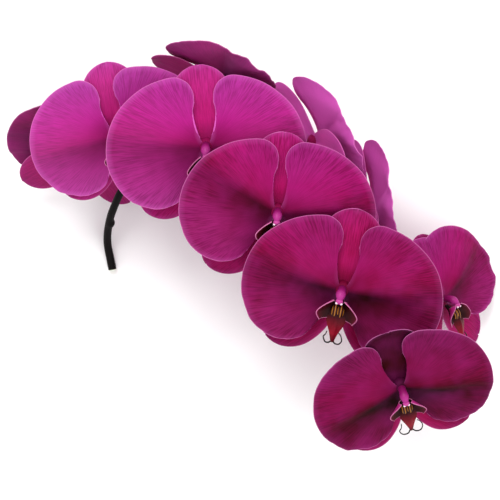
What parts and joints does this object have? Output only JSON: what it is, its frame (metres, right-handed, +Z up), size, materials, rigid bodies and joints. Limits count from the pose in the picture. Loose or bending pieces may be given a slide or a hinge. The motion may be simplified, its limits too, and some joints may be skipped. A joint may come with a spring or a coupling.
{
  "type": "moth orchid stem",
  "caption": "Cut spray of deep magenta moth orchid, open blooms on an arching dark stem, lying on its side",
  "frame": {"origin": "centre of the spray's footprint, on the surface that it lies on", "axes": "+X along the spray towards its tip, +Y across it away from the cut end, +Z up, the way the front blooms face"},
  "size_m": [0.2708, 0.2155, 0.1134],
  "materials": {
    "petal": "velvety petal tissue, deep magenta with fine darker veins and a thin pale margin",
    "lip": "smooth fleshy lip, dark crimson with a striped orange callus",
    "column": "smooth waxy column, pink with a pale anther cap",
    "stem": "smooth green-black stalk with a dull bloom"
  },
  "bodies": {
    "root": {"stem": "stem", "bloom_1": "petal", "lip_1": "lip", "column_1": "column", "bloom_2": "petal", "lip_2": "lip", "column_2": "column", "bloom_3": "petal", "lip_3": "lip", "column_3": "column", "bloom_4": "petal", "lip_4": "lip", "column_4": "column", "bloom_5": "petal", "lip_5": "lip", "column_5": "column", "bloom_6": "petal", "lip_6": "lip", "column_6": "column", "bloom_7": "petal", "lip_7": "lip", "column_7": "column", "bloom_8": "petal", "lip_8": "lip", "column_8": "column", "bloom_9": "petal", "lip_9": "lip", "column_9": "column", "bloom_10": "petal", "lip_10": "lip", "column_10": "column"}
  },
  "joints": []
}
